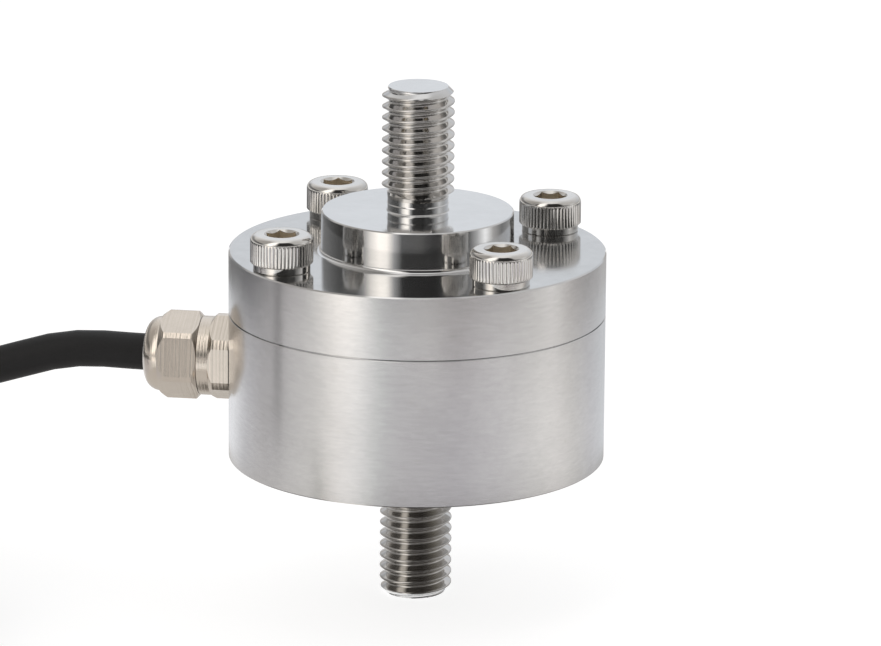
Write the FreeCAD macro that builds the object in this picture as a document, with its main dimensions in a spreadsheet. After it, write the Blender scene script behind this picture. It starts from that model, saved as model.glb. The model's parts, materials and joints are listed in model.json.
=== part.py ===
import FreeCAD, Part
import math
import os
import re
import Sketcher

# Tension and compression load cell: a round steel body with a threaded stud at each end, four cap
# screws and a cable gland. Millimetres. The origin is the centre of the lower stud's end face, +Z runs
# up the axis, and the gland points towards -X.

SIZES = {
    # Cup shaped lower body and its stud
    "housing_diameter": 52.0,
    "housing_height": 20.5,
    "housing_floor": 6.0,
    "cavity_to_bolts": 5.6,
    "edge_break": 0.2,
    "seam_break": 0.15,
    "lower_stud_length": 19.8,
    "stud_diameter": 10.0,
    "stud_chamfer": 0.9,
    # Flange, web, boss and stud turned in one piece
    "flange_thickness": 8.8,
    "web_thickness": 2.8,
    "web_span": 8.0,
    "hub_relief": 0.6,
    "boss_to_heads": 4.0,
    "boss_height": 5.6,
    "boss_fillet": 0.5,
    "upper_stud_length": 17.5,
    "neck_groove": 0.8,
    "neck_length": 2.1,
    # Cap screws on their bolt circle
    "bolts_to_edge": 4.4,
    "bolt_count": 4,
    "bolt_angle": 31.5,
    "screw_diameter": 5.0,
    "screw_length": 16.0,
    "screw_tip": 0.6,
    "screw_clearance": 0.25,
    "tap_spare": 2.3,
    "head_diameter": 8.6,
    "head_height": 5.0,
    "head_round": 0.9,
    "collar_step": 0.4,
    "collar_height": 0.95,
    "socket_flats": 4.0,
    "socket_depth": 2.5,
    "mouth_margin": 0.18,
    "thread_gap": 0.05,
    # Ring between flange and housing
    "seal_section": 1.2,
    "seal_clearance": 0.15,
    # Cable gland, its widths built up from the cable and its lengths outwards from the housing
    "gland_drop": 0.5,
    "gland_angle": 171.4,
    "bore_gap": 0.25,
    "shank_wall": 1.2,
    "shank_length": 7.0,
    "sleeve_wall": 0.55,
    "sleeve_length": 3.4,
    "cage_wall": 0.6,
    "cage_gap": 0.65,
    "cage_slot": 0.5,
    "cage_fingers": 6,
    "seat_wall": 0.7,
    "seat_depth": 2.7,
    "nut_wall": 1.0,
    "corner_land": 0.5,
    "hex_length": 3.0,
    "hex_chamfer": 0.6,
    "collar_length": 1.55,
    "face_ring": 1.0,
    "spot_depth": 0.5,
    "spot_gap": 0.2,
    "nut_gap": 0.1,
    "nut_corner_land": 0.625,
    "nut_length": 5.45,
    "nut_front_chamfer": 0.85,
    "nut_back_chamfer": 0.55,
    "nut_angle": 9.8,
    "nut_throat": 1.1,
    "nut_cone": 2.35,
    "dome_step": 0.3,
    "dome_straight": 0.1,
    "dome_round": 2.25,
    "mouth_gap": 0.55,
    # Inside the cavity
    "gauge_count": 4,
    "gauge_to_wall": 2.5,
    "gauge_length": 4.0,
    "gauge_width": 3.0,
    "gauge_thickness": 0.3,
    "board_to_wall": 1.5,
    "board_thickness": 1.2,
    "board_screw_count": 3,
    "board_screw_to_edge": 5.0,
    "spacer_diameter": 4.0,
    "spacer_height": 1.0,
    "board_screw": 2.0,
    "board_screw_length": 6.0,
    "board_tap_spare": 0.8,
    "board_head": 3.8,
    "board_head_height": 1.3,
    "board_slot": 0.5,
    "chip_to_edge": 5.5,
    "chip_length": 3.2,
    "chip_width": 1.6,
    "chip_height": 0.6,
    # Cable
    "cable_diameter": 5.1,
    "sheath_inside": 2.5,
    "core_diameter": 1.1,
    "core_pitch": 1.5,
    "core_straight": 2.0,
    "core_drop": 4.0,
    "core_flat": 1.5,
    "stripped_straight": 6.0,
    "stripped_drop": 7.0,
    "stripped_flat": 7.0,
    "bare_diameter": 0.7,
    "bare_length": 5.0,
    "shield_diameter": 1.0,
    "lead_diameter": 0.5,
    "lead_pitch": 2.0,
    "coil_across": 52.0,
    "coil_turns_across": 3.65,
    "coil_rows": 6,
    "coil_slack": 0.3,
    "coil_chamfer": 1.5,
    "coil_stub": 19.0,
    "tie_thickness": 0.6,
    "tie_width": 4.0,
    "tie_tail": 12.0,
    "twist_width": 2.4,
}

doc = FreeCAD.newDocument("load_cell")
sheet = doc.addObject("Spreadsheet::Sheet", "sizes")
for row, (alias, number) in enumerate(SIZES.items(), start=1):
    sheet.set(f"A{row}", alias)
    sheet.set(f"B{row}", str(number))
    sheet.setAlias(f"B{row}", alias)
doc.recompute()

sub_parts = []


def cell(text):
    """The expression with the name of each size written as its cell in the sheet."""
    return re.sub(r"[a-z_]+", lambda word: f"sizes.{word[0]}" if word[0] in SIZES else word[0], text)


def value(text):
    """The number that an expression has now."""
    return float(sheet.evalExpression(cell(text)))


# Levels above the lower stud's end
SEAM = "(lower_stud_length + housing_height)"
FLANGE_TOP = f"({SEAM} + flange_thickness)"
FLOOR = "(lower_stud_length + housing_floor)"
BOARD_TOP = f"({FLOOR} + spacer_height + board_thickness)"
WEB_UNDERSIDE = f"({FLANGE_TOP} - web_thickness)"
GLAND_LEVEL = f"(({FLOOR} + {SEAM}) / 2 - gland_drop)"

# Diameters that follow from the housing's
BOLT_CIRCLE = "(housing_diameter - 2 * bolts_to_edge)"
BOLT_HOLE = "(screw_diameter + 2 * screw_clearance)"
CAVITY = f"({BOLT_CIRCLE} - 2 * cavity_to_bolts)"
HUB = f"({CAVITY} - 2 * web_span)"
BOSS = f"({BOLT_CIRCLE} - head_diameter - 2 * boss_to_heads)"
SEAL_CIRCLE = f"(({CAVITY} + {BOLT_CIRCLE} - {BOLT_HOLE}) / 2)"
GAUGE_CIRCLE = f"({CAVITY} - 2 * gauge_to_wall)"
BOARD = f"({CAVITY} - 2 * board_to_wall)"
BOARD_CIRCLE = f"({BOARD} - 2 * board_screw_to_edge)"
CHIP_CIRCLE = f"({BOARD} - 2 * chip_to_edge)"

# Diameters of the gland that follow from the cable's
SHANK_BORE = "(cable_diameter + 2 * bore_gap)"
SHANK = f"({SHANK_BORE} + 2 * shank_wall)"
SLEEVE_BORE = "(cable_diameter + 2 * thread_gap)"
SLEEVE = f"({SLEEVE_BORE} + 2 * sleeve_wall)"
CAGE = f"({SLEEVE} + 2 * cage_wall)"
SEAT = f"({CAGE} + 2 * thread_gap)"
SPIGOT = f"({SEAT} + 2 * seat_wall)"
FLATS = f"({SPIGOT} + 2 * nut_wall)"
DOME = f"({FLATS} - 2 * dome_step)"
MOUTH = "(cable_diameter + 2 * mouth_gap)"

# Stations along the gland, outwards from the cell's axis
HEX_START = "(housing_diameter / 2 - spot_depth)"
HEX_END = f"({HEX_START} + hex_length)"
COLLAR_END = f"({HEX_END} + collar_length)"
NUT_START = f"({COLLAR_END} + nut_gap)"
NUT_END = f"({NUT_START} + nut_length)"
DOME_END = f"({NUT_END} + dome_straight + dome_round)"
CONE_END = f"({DOME_END} - nut_throat)"
CONE_START = f"({CONE_END} - nut_cone)"
SPIGOT_END = f"({CONE_START} - 2 * thread_gap)"
SEAT_START = f"({SPIGOT_END} - seat_depth)"
CAGE_END = f"({CONE_END} - cage_gap)"
SHANK_START = f"({HEX_START} - shank_length)"


def bind(item, prop, text):
    """Tie a property to the sheet."""
    item.setExpression(prop, cell(text))


def keep(item, label):
    """Name a finished sub-part."""
    item.Label = label
    sub_parts.append(item)
    return item


def new_body(label):
    return keep(doc.addObject("PartDesign::Body", label), label)


def origin_part(body, role):
    return next(feature for feature in body.Origin.OriginFeatures if feature.Role == role)


def new_sketch(body, plane, lift="0"):
    """A sketch on one of the body's own planes, lifted along the plane's normal."""
    sketch = body.newObject("Sketcher::SketchObject", "sketch")
    sketch.AttachmentSupport = [(origin_part(body, plane), "")]
    sketch.MapMode = "FlatFace"
    bind(sketch, "AttachmentOffset.Base.z", lift)
    return sketch


def set_point(sketch, edge, end, across, along):
    """Place one end of an edge, or a circle's centre, by two expressions."""
    for kind, axis, text in (("DistanceX", -2, across), ("DistanceY", -1, along)):
        number = value(text)
        if abs(number) < 1e-9:
            sketch.addConstraint(Sketcher.Constraint("PointOnObject", edge, end, axis))
        else:
            index = sketch.addConstraint(Sketcher.Constraint(kind, -1, 1, edge, end, number))
            bind(sketch, f"Constraints[{index}]", text)


def draw_outline(sketch, corners):
    """A closed outline of straight edges, each corner a pair of expressions."""
    points = [FreeCAD.Vector(value(across), value(along), 0) for across, along in corners]
    first = sketch.GeometryCount
    count = len(points)
    for index, point in enumerate(points):
        sketch.addGeometry(Part.LineSegment(point, points[(index + 1) % count]), False)
    for index in range(count):
        following = first + (index + 1) % count
        sketch.addConstraint(Sketcher.Constraint("Coincident", first + index, 2, following, 1))
    for index, (across, along) in enumerate(corners):
        set_point(sketch, first + index, 1, across, along)


def draw_circle(sketch, across, along, diameter):
    centre = FreeCAD.Vector(value(across), value(along), 0)
    circle = Part.Circle(centre, FreeCAD.Vector(0, 0, 1), value(diameter) / 2)
    edge = sketch.addGeometry(circle, False)
    index = sketch.addConstraint(Sketcher.Constraint("Diameter", edge, value(diameter)))
    bind(sketch, f"Constraints[{index}]", diameter)
    set_point(sketch, edge, 3, across, along)


def draw_hexagon(sketch, flats, turn="0"):
    """A hexagon of that size across its flats, with a corner at the angle turn."""
    corners = []
    for corner in range(6):
        angle = f"({turn} + {60 * corner})"
        reach = f"{flats} / 2 / cos(30)"
        corners.append((f"{reach} * cos({angle})", f"{reach} * sin({angle})"))
    draw_outline(sketch, corners)


def turned(body, corners, kind="PartDesign::Revolution"):
    """Turn an outline in the XZ plane about Z, to add material or to cut it."""
    sketch = new_sketch(body, "XZ_Plane")
    draw_outline(sketch, corners)
    doc.recompute()
    before = body.Shape.Volume if body.Shape.Solids else 0
    feature = body.newObject(kind, "turned")
    feature.Profile = sketch
    feature.ReferenceAxis = (sketch, ["V_Axis"])
    feature.Angle = 360
    doc.recompute()
    changed(body, before, kind == "PartDesign::Groove")
    return feature


def changed(body, before, cut):
    """Stop where a feature added or cut nothing."""
    difference = body.Shape.Volume - before
    if (difference >= -1e-6) if cut else (difference <= 1e-6):
        raise RuntimeError(f"a feature of {body.Label} changed nothing")


def extruded(body, sketch, length, cut=False, backwards=False):
    """Pad or pocket a sketch."""
    doc.recompute()
    before = body.Shape.Volume if body.Shape.Solids else 0
    feature = body.newObject("PartDesign::Pocket" if cut else "PartDesign::Pad", "extruded")
    feature.Profile = sketch
    feature.Reversed = backwards
    bind(feature, "Length", length)
    doc.recompute()
    changed(body, before, cut)
    return feature


def patterned(body, feature, count):
    """Repeat a feature evenly about the body's Z axis."""
    pattern = body.newObject("PartDesign::PolarPattern", "patterned")
    pattern.Originals = [feature]
    pattern.Axis = (origin_part(body, "Z_Axis"), [""])
    pattern.Angle = 360
    bind(pattern, "Occurrences", count)
    body.Tip = pattern
    doc.recompute()
    return pattern


def rounded(body, circles, radius):
    """Fillet the circular edges that have these radii and heights."""
    base = body.Tip
    names = []
    wanted = [(value(size), value(height)) for size, height in circles]
    for number, edge in enumerate(body.Shape.Edges, start=1):
        if not isinstance(edge.Curve, Part.Circle):
            continue
        found = (edge.Curve.Radius, edge.Curve.Center.z)
        if any(math.dist(found, want) < 1e-4 for want in wanted):
            names.append(f"Edge{number}")
    if not names:
        raise RuntimeError(f"{body.Label} has no such edge to round")
    fillet = body.newObject("PartDesign::Fillet", "rounded")
    fillet.Base = (base, names)
    bind(fillet, "Radius", radius)
    body.Tip = fillet
    doc.recompute()
    return fillet


def moved(item, turn="0", **shifts):
    """Turn a sub-part about Z and shift it, in degrees and millimetres of the sheet."""
    rotation = FreeCAD.Rotation(FreeCAD.Vector(0, 0, 1), value(turn))
    item.Placement = FreeCAD.Placement(FreeCAD.Vector(), rotation)
    for axis, text in shifts.items():
        bind(item, f"Placement.Base.{axis}", text)
    doc.recompute()
    return item


def make_base_housing():
    """Cup with its stud, cavity, ring groove, tapped holes and a spot faced gland bore along its X axis."""
    body = new_body("base_housing")
    outer = "housing_diameter / 2"
    turned(body, [
        ("0", "0"),
        ("stud_diameter / 2 - stud_chamfer", "0"),
        ("stud_diameter / 2", "stud_chamfer"),
        ("stud_diameter / 2", "lower_stud_length"),
        (f"{outer} - edge_break", "lower_stud_length"),
        (outer, "lower_stud_length + edge_break"),
        (outer, f"{SEAM} - seam_break"),
        (f"{outer} - seam_break", SEAM),
        (f"{CAVITY} / 2", SEAM),
        (f"{CAVITY} / 2", FLOOR),
        ("0", FLOOR),
    ])
    inside = f"({SEAL_CIRCLE} / 2 - seal_section / 2 - seal_clearance)"
    outside = f"({SEAL_CIRCLE} / 2 + seal_section / 2 + seal_clearance)"
    turned(body, [
        (inside, SEAM),
        (outside, SEAM),
        (outside, f"{SEAM} - seal_section"),
        (inside, f"{SEAM} - seal_section"),
    ], "PartDesign::Groove")
    holes = new_sketch(body, "XY_Plane", SEAM)
    reach = f"{BOLT_CIRCLE} / 2"
    angle = "(bolt_angle - gland_angle)"
    draw_circle(holes, f"{reach} * cos({angle})", f"{reach} * sin({angle})", "screw_diameter")
    depth = "(screw_length - flange_thickness + tap_spare)"
    patterned(body, extruded(body, holes, depth, cut=True), "bolt_count")
    bore = new_sketch(body, "YZ_Plane", "0")
    draw_circle(bore, "0", GLAND_LEVEL, SHANK)
    extruded(body, bore, outer, cut=True, backwards=True)
    spot = new_sketch(body, "YZ_Plane", HEX_START)
    draw_circle(spot, "0", GLAND_LEVEL, f"{FLATS} + 2 * corner_land + 2 * spot_gap")
    extruded(body, spot, "2 * spot_depth", cut=True, backwards=True)
    floor_holes = new_sketch(body, "XY_Plane", FLOOR)
    draw_circle(floor_holes, f"-{BOARD_CIRCLE} / 2", "0", "board_screw + 2 * thread_gap")
    depth = "(board_screw_length - spacer_height - board_thickness + board_tap_spare)"
    patterned(body, extruded(body, floor_holes, depth, cut=True), "board_screw_count")
    return moved(body, "gland_angle")


def make_sensing_element():
    """Flange, thin web, hub, boss and upper stud in one turned piece."""
    body = new_body("sensing_element")
    outer = "housing_diameter / 2"
    top = "flange_thickness"
    boss = "(flange_thickness + boss_height)"
    tip = f"({boss} + upper_stud_length)"
    turned(body, [
        ("0", "hub_relief"),
        (f"{HUB} / 2", "hub_relief"),
        (f"{HUB} / 2", f"{top} - web_thickness"),
        (f"{CAVITY} / 2", f"{top} - web_thickness"),
        (f"{CAVITY} / 2", "0"),
        (f"{outer} - seam_break", "0"),
        (outer, "seam_break"),
        (outer, f"{top} - edge_break"),
        (f"{outer} - edge_break", top),
        (f"{BOSS} / 2", top),
        (f"{BOSS} / 2", f"{boss} - edge_break"),
        (f"{BOSS} / 2 - edge_break", boss),
        ("stud_diameter / 2 - neck_groove", boss),
        ("stud_diameter / 2 - neck_groove", f"{boss} + neck_length"),
        ("stud_diameter / 2", f"{boss} + neck_length + neck_groove"),
        ("stud_diameter / 2", f"{tip} - stud_chamfer"),
        ("stud_diameter / 2 - stud_chamfer", tip),
        ("0", tip),
    ])
    holes = new_sketch(body, "XY_Plane", "0")
    draw_circle(holes, f"{BOLT_CIRCLE} / 2", "0", BOLT_HOLE)
    patterned(body, extruded(body, holes, top, cut=True, backwards=True), "bolt_count")
    rounded(body, [(f"{BOSS} / 2", top)], "boss_fillet")
    underside = f"({top} - web_thickness)"
    rounded(body, [(f"{CAVITY} / 2", underside), (f"{HUB} / 2", underside)], "boss_fillet")
    return moved(body, "bolt_angle", z=SEAM)


def make_cap_screw(number, socket_turn):
    """Socket head cap screw, its head standing on the flange."""
    body = new_body(f"cap_screw_{number}")
    shank = "(screw_diameter / 2 - thread_gap)"
    turned(body, [
        ("0", "-screw_length"),
        (f"{shank} - screw_tip", "-screw_length"),
        (shank, "screw_tip - screw_length"),
        (shank, "0"),
        ("head_diameter / 2 - collar_step", "0"),
        ("head_diameter / 2 - collar_step", "collar_height"),
        ("head_diameter / 2 - seam_break", "collar_height"),
        ("head_diameter / 2", "collar_height + seam_break"),
        ("head_diameter / 2", "head_height"),
        ("0", "head_height"),
    ])
    rounded(body, [("head_diameter / 2", "head_height")], "head_round")
    socket = new_sketch(body, "XY_Plane", "head_height")
    draw_hexagon(socket, "socket_flats")
    extruded(body, socket, "socket_depth", cut=True)
    mouth = "(socket_flats / cos(30) + mouth_margin)"
    turned(body, [
        ("0", "head_height"),
        (f"{mouth} / 2", "head_height"),
        ("0", f"head_height - {mouth} / 2"),
    ], "PartDesign::Groove")
    angle = f"(bolt_angle + 360 / bolt_count * {number})"
    body.Placement.Rotation = FreeCAD.Rotation(FreeCAD.Vector(0, 0, 1), socket_turn)
    bind(body, "Placement.Base.x", f"{BOLT_CIRCLE} / 2 * cos({angle})")
    bind(body, "Placement.Base.y", f"{BOLT_CIRCLE} / 2 * sin({angle})")
    bind(body, "Placement.Base.z", FLANGE_TOP)
    doc.recompute()
    return body


def along_gland(item):
    """Place a piece made along Z on the gland's axis, its own X axis upwards."""
    out = math.radians(value("gland_angle"))
    outwards = FreeCAD.Vector(math.cos(out), math.sin(out), 0)
    upwards = FreeCAD.Vector(0, 0, 1)
    item.Placement.Rotation = FreeCAD.Rotation(upwards, outwards.cross(upwards), outwards, "ZXY")
    bind(item, "Placement.Base.z", GLAND_LEVEL)
    doc.recompute()
    return item


def hexagonal(body, start, length, turn, land, chamfer, back_chamfer="0"):
    """A hexagon on the gland's axis, its corners turned down and its outer or both ends chamfered."""
    sketch = new_sketch(body, "XY_Plane", start)
    draw_hexagon(sketch, FLATS, turn)
    extruded(body, sketch, length)
    end = f"({start} + {length})"
    flat = f"{FLATS} / 2"
    corner = f"({FLATS} / 2 + {land})"
    outline = [
        (corner, f"{end} - {chamfer}"),
        (flat, end),
        (FLATS, end),
        (FLATS, start),
    ]
    if back_chamfer != "0":
        outline.append((flat, start))
    outline.append((corner, f"{start} + {back_chamfer}"))
    turned(body, outline, "PartDesign::Groove")


def make_gland_body():
    """Threaded shank, hexagon with its ring groove, collar, threaded spigot and seal seat."""
    body = new_body("gland_body")
    hexagonal(body, HEX_START, "hex_length", "0", "corner_land", "hex_chamfer")
    shank = f"({SHANK} / 2 - thread_gap)"
    turned(body, [
        ("0", SHANK_START),
        (f"{shank} - screw_tip", SHANK_START),
        (shank, f"{SHANK_START} + screw_tip"),
        (shank, HEX_END),
        (f"{FLATS} / 2", HEX_END),
        (f"{FLATS} / 2", COLLAR_END),
        (f"{SPIGOT} / 2", COLLAR_END),
        (f"{SPIGOT} / 2", f"{SPIGOT_END} - screw_tip"),
        (f"{SPIGOT} / 2 - screw_tip", SPIGOT_END),
        ("0", SPIGOT_END),
    ])
    groove = f"({SHANK} / 2 + face_ring + thread_gap)"
    turned(body, [
        (shank, HEX_START),
        (groove, HEX_START),
        (groove, f"{HEX_START} + face_ring"),
        (shank, f"{HEX_START} + face_ring"),
    ], "PartDesign::Groove")
    turned(body, [
        ("0", SHANK_START),
        (f"{SHANK_BORE} / 2", SHANK_START),
        (f"{SHANK_BORE} / 2", SEAT_START),
        (f"{SEAT} / 2", SEAT_START),
        (f"{SEAT} / 2", SPIGOT_END),
        ("0", SPIGOT_END),
    ], "PartDesign::Groove")
    return along_gland(body)


def make_gland_dome_nut():
    """Domed compression nut with an open mouth for the cable."""
    body = new_body("gland_dome_nut")
    chamfers = ("nut_front_chamfer", "nut_back_chamfer")
    hexagonal(body, NUT_START, "nut_length", "nut_angle", "nut_corner_land", *chamfers)
    turned(body, [
        ("0", NUT_END),
        (f"{DOME} / 2", NUT_END),
        (f"{DOME} / 2", DOME_END),
        ("0", DOME_END),
    ])
    rounded(body, [(f"{DOME} / 2", DOME_END)], "dome_round")
    bore = f"({SPIGOT} / 2 + thread_gap)"
    turned(body, [
        ("0", NUT_START),
        (bore, NUT_START),
        (bore, CONE_START),
        (f"{MOUTH} / 2", CONE_END),
        (f"{MOUTH} / 2", DOME_END),
        ("0", DOME_END),
    ], "PartDesign::Groove")
    return along_gland(body)


def make_gland_clamp_cage():
    """Plastic cage whose slotted fingers the nut presses onto the seal."""
    body = new_body("gland_clamp_cage")
    turned(body, [
        (f"{SLEEVE} / 2", SEAT_START),
        (f"{CAGE} / 2", SEAT_START),
        (f"{CAGE} / 2", f"{CAGE_END} - cage_wall"),
        (f"{CAGE} / 2 - cage_wall / 2", CAGE_END),
        (f"{SLEEVE} / 2", CAGE_END),
    ])
    slot = new_sketch(body, "XY_Plane", CAGE_END)
    draw_outline(slot, [
        ("0", "-cage_slot / 2"),
        (CAGE, "-cage_slot / 2"),
        (CAGE, "cage_slot / 2"),
        ("0", "cage_slot / 2"),
    ])
    patterned(body, extruded(body, slot, f"({CAGE_END} - {SEAT_START}) / 2", cut=True), "cage_fingers")
    return along_gland(body)


def make_gland_seal_sleeve():
    """Rubber sleeve that grips the cable inside the cage."""
    body = new_body("gland_seal_sleeve")
    start = f"({SEAT_START} + thread_gap)"
    end = f"({start} + sleeve_length)"
    turned(body, [
        (f"{SLEEVE_BORE} / 2", start),
        (f"{SLEEVE} / 2", start),
        (f"{SLEEVE} / 2", end),
        (f"{SLEEVE_BORE} / 2", end),
    ])
    return along_gland(body)


def make_ring(label, circle, section):
    """A sealing ring of round section."""
    ring = keep(doc.addObject("Part::Torus", label), label)
    bind(ring, "Radius1", f"{circle} / 2")
    bind(ring, "Radius2", f"{section} / 2")
    doc.recompute()
    return ring


def make_seals():
    flange_ring = make_ring("flange_seal_ring", SEAL_CIRCLE, "seal_section")
    bind(flange_ring, "Placement.Base.z", f"{SEAM} - seal_section / 2")
    face_ring = along_gland(make_ring("gland_face_ring", f"({SHANK} + face_ring)", "face_ring"))
    reach = f"({HEX_START} + face_ring / 2)"
    bind(face_ring, "Placement.Base.x", f"{reach} * cos(gland_angle)")
    bind(face_ring, "Placement.Base.y", f"{reach} * sin(gland_angle)")
    doc.recompute()


def make_block(label, length, width, height, circle, angle, bottom):
    """A small block centred on a circle about the axis, its length along the circle."""
    block = keep(doc.addObject("Part::Box", label), label)
    bind(block, "Length", width)
    bind(block, "Width", length)
    bind(block, "Height", height)
    corner = FreeCAD.Vector(value(f"({circle} - {width}) / 2"), -value(length) / 2, value(bottom))
    turn = FreeCAD.Rotation(FreeCAD.Vector(0, 0, 1), value(f"gland_angle + {angle}"))
    block.Placement = FreeCAD.Placement(turn.multVec(corner), turn)
    return block


# Directions of the small resistors on the board, in degrees from the gland, and how far out each is on
# the way to their circle
RESISTOR_PLACES = ((120, 1.0), (240, 1.0), (180, 0.5))


def make_bridge():
    """Strain gauges under the web, and the small board on the cavity's floor."""
    for number in range(1, SIZES["gauge_count"] + 1):
        make_block(f"strain_gauge_{number}", "gauge_length", "gauge_width", "gauge_thickness", GAUGE_CIRCLE,
                   f"360 / gauge_count * ({number} - 1 / 2)", f"{WEB_UNDERSIDE} - gauge_thickness")
    board = new_body("bridge_board")
    disc = new_sketch(board, "XY_Plane", f"{FLOOR} + spacer_height")
    draw_circle(disc, "0", "0", BOARD)
    extruded(board, disc, "board_thickness")
    hole = new_sketch(board, "XY_Plane", BOARD_TOP)
    draw_circle(hole, f"-{BOARD_CIRCLE} / 2", "0", "board_screw + 4 * thread_gap")
    patterned(board, extruded(board, hole, "board_thickness", cut=True), "board_screw_count")
    moved(board, "gland_angle")
    for number, (angle, share) in enumerate(RESISTOR_PLACES, start=1):
        circle = f"{CHIP_CIRCLE} * {share}"
        chip = ("chip_length", "chip_width", "chip_height")
        make_block(f"trim_resistor_{number}", *chip, circle, angle, BOARD_TOP)
    for number in range(1, SIZES["board_screw_count"] + 1):
        angle = f"(gland_angle + 180 + 360 / board_screw_count * {number})"
        place = {"x": f"{BOARD_CIRCLE} / 2 * cos({angle})", "y": f"{BOARD_CIRCLE} / 2 * sin({angle})"}
        spacer = new_body(f"board_spacer_{number}")
        turned(spacer, [
            ("board_screw / 2 + 2 * thread_gap", "0"),
            ("spacer_diameter / 2", "0"),
            ("spacer_diameter / 2", "spacer_height"),
            ("board_screw / 2 + 2 * thread_gap", "spacer_height"),
        ])
        moved(spacer, z=FLOOR, **place)
        screw = new_body(f"board_screw_{number}")
        turned(screw, [
            ("0", "-board_screw_length"),
            ("board_screw / 2", "-board_screw_length"),
            ("board_screw / 2", "0"),
            ("board_head / 2", "0"),
            ("board_head / 2", "board_head_height"),
            ("0", "board_head_height"),
        ])
        slot = new_sketch(screw, "XY_Plane", "board_head_height")
        draw_outline(slot, [
            ("-board_head", "-board_slot / 2"),
            ("board_head", "-board_slot / 2"),
            ("board_head", "board_slot / 2"),
            ("-board_head", "board_slot / 2"),
        ])
        extruded(screw, slot, "board_head_height / 2", cut=True)
        moved(screw, z=BOARD_TOP, **place)


def rounded_route(points):
    """Straight runs joined by tangent arcs, each as large as its runs allow. Returns the path and radii."""
    edges = []
    radii = []
    start = points[0]
    for before, corner, after in zip(points, points[1:], points[2:]):
        come = (corner - before).normalize()
        leave = (after - corner).normalize()
        half = come.getAngle(leave) / 2
        reach = 0.45 * min((corner - before).Length, (after - corner).Length)
        radius = reach / math.tan(half)
        inwards = (leave - come).normalize()
        middle = corner + inwards * (radius / math.cos(half) - radius)
        first = corner - come * reach
        last = corner + leave * reach
        edges += [Part.LineSegment(start, first).toShape(), Part.Arc(first, middle, last).toShape()]
        radii.append(radius)
        start = last
    edges.append(Part.LineSegment(start, points[-1]).toShape())
    return Part.Wire(edges), radii


def tube_along(points, diameter):
    """A round solid swept along a rounded route."""
    path, radii = rounded_route(points)
    circle = Part.Circle(points[0], points[1] - points[0], diameter / 2)
    tube = path.makePipeShell([Part.Wire([circle.toShape()])], True, True)
    expected = math.pi * diameter ** 2 / 4 * path.Length
    if abs(tube.Volume - expected) > 0.01 * expected:
        raise RuntimeError("a tube's volume isn't its section times its length")
    return tube, path.Length, radii


def only_solid(shape):
    """The one solid that a union came to."""
    if len(shape.Solids) != 1:
        raise RuntimeError(f"a union has {len(shape.Solids)} solids")
    return shape.Solids[0]


def add_shape(label, shape):
    """A sub-part given by a shape made here."""
    item = doc.addObject("Part::Feature", label)
    item.Shape = shape
    return keep(item, label)


def at_gland(reach, side, height):
    """A point by its distance out from the axis towards the gland, to the left of that way and up."""
    out = math.radians(value("gland_angle"))
    across = reach * math.cos(out) - side * math.sin(out)
    along = reach * math.sin(out) + side * math.cos(out)
    return FreeCAD.Vector(across, along, height)


# The cable's way from inside the cavity out through the gland and down onto its coil, as distances
# out from the axis and heights above the bench
CABLE_ROUTE = [
    (13.5, 32.57),
    (27.0, 32.55),
    (38.5, 32.60),
    (49.5, 33.00),
    (61.5, 28.65),
    (73.0, 28.65),
]

# The tie's place round the coil, and the turns of its twisted ends
TIE_ANGLE = 160
TWIST_STEPS = 8
TWIST_PER_STEP = 60

# How many times further apart the lower and the upper cores lie at their ends than in the sheath
LEAD_SPREAD = (4.0, 1.0)
END_SPREAD = (7.0, 3.6)


def make_gauge_leads():
    """A pair of leads from each strain gauge down to the board."""
    gauge_reach = value(f"{GAUGE_CIRCLE} / 2")
    lead_reach = value(f"{BOARD} / 2 - lead_pitch")
    top = value(f"{WEB_UNDERSIDE} - gauge_thickness")
    bottom = value(BOARD_TOP)
    drop = (top - bottom) / 3
    for number in range(2 * SIZES["gauge_count"]):
        angle = value(f"gland_angle + 360 / gauge_count * ({number // 2} + 1 / 2)")
        turn = FreeCAD.Rotation(FreeCAD.Vector(0, 0, 1), angle)
        side = value("lead_pitch") * (number % 2 - 0.5)
        route = [
            FreeCAD.Vector(gauge_reach, side, top),
            FreeCAD.Vector(gauge_reach, side, top - drop),
            FreeCAD.Vector(lead_reach, side, bottom + drop),
            FreeCAD.Vector(lead_reach, side, bottom),
        ]
        lead, _, _ = tube_along([turn.multVec(point) for point in route], value("lead_diameter"))
        add_shape(f"gauge_lead_{number + 1}", lead)


def core_places(spread):
    """Each core's place in the sheath, sideways and up, where it ends sideways, and how late it bends."""
    pitch = value("core_pitch")
    for number in range(4):
        upper = number // 2
        side = pitch * (number % 2 - 0.5)
        yield number + 1, side, pitch * (upper - 0.5), side * spread[upper], pitch * upper


def make_core_wires():
    """The cable's cores from the end of the sheath inside the cell down onto the board."""
    start = value(f"{CAVITY} / 2 - sheath_inside - thread_gap")
    resting = value(f"{BOARD_TOP} + core_diameter / 2")
    for number, side, rise, wide, late in core_places(LEAD_SPREAD):
        level = value(GLAND_LEVEL) + rise
        bend = start - value("core_straight") - late
        landing = bend - value("core_drop")
        route = [
            at_gland(start, side, level),
            at_gland(bend, side, level),
            at_gland(landing, wide, resting),
            at_gland(landing - value("core_flat"), wide, resting),
        ]
        core, _, _ = tube_along(route, value("core_diameter"))
        add_shape(f"core_wire_{number}", core)


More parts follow.
